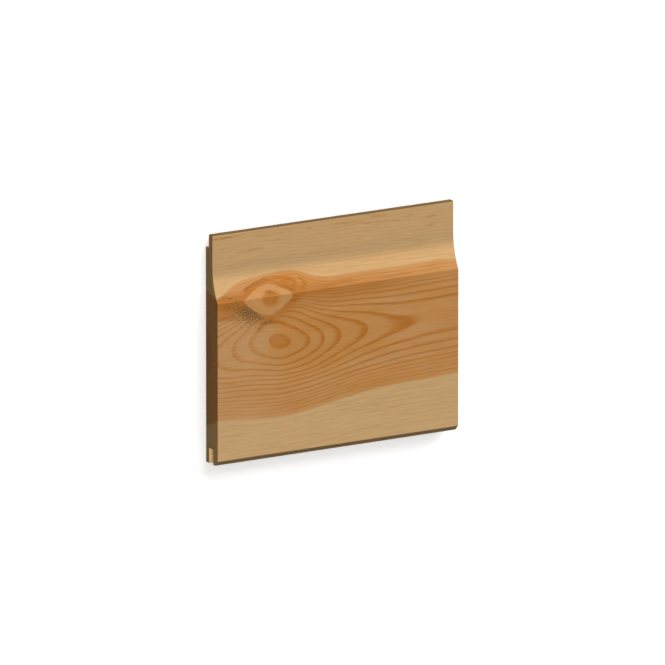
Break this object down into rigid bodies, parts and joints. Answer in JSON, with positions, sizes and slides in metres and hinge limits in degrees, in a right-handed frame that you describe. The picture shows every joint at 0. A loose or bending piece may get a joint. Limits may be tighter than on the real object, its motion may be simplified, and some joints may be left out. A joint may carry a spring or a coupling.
{
  "type": "shiplap weatherboard",
  "caption": "Short length of shiplap weatherboard: flat face, scooped upper edge, rebated tongue along the head and groove along the foot, for cladding a wall in overlapping courses.",
  "frame": {"origin": "under the middle of the board, on the plane of its back", "axes": "+X along the grain, +Y from the grooved foot to the tongued head, +Z out of the show face; the board lies on its back"},
  "size_m": [0.169, 0.144, 0.0145],
  "materials": {
    "pine": "planed bare softwood, pale sapwood and orange-brown heartwood, matte to satin"
  },
  "bodies": {
    "root": {"weatherboard": "pine"}
  },
  "joints": []
}
